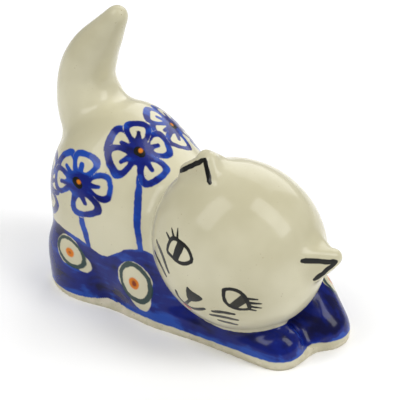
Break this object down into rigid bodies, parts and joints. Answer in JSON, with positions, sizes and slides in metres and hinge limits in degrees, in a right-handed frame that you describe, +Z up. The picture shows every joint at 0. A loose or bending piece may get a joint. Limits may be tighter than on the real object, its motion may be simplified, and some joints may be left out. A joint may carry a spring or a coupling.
{
  "type": "ceramic cat figurine",
  "caption": "Hollow glazed stoneware cat lying with its tail up and its head turned on its forelegs, with hand-painted flowers and a flat foot.",
  "frame": {"origin": "on the foot's resting face, in the trunk's middle plane, between the chest and the rump", "axes": "+Z up; the trunk faces -Y and the tail is at +Y; +X is the cat's left side"},
  "size_m": [0.0557, 0.1121, 0.095],
  "materials": {
    "ivory_glaze": "gloss",
    "cobalt_glaze": "gloss",
    "bare_clay": "matt"
  },
  "bodies": {
    "root": {"foot_slab": "bare_clay", "trunk_shell": "ivory_glaze", "head_shell": "ivory_glaze", "right_ear": "ivory_glaze", "left_ear": "ivory_glaze", "tail_shell": "ivory_glaze", "right_foreleg": "cobalt_glaze", "left_foreleg": "cobalt_glaze", "right_hind_leg": "cobalt_glaze", "left_hind_leg": "cobalt_glaze"}
  },
  "joints": []
}
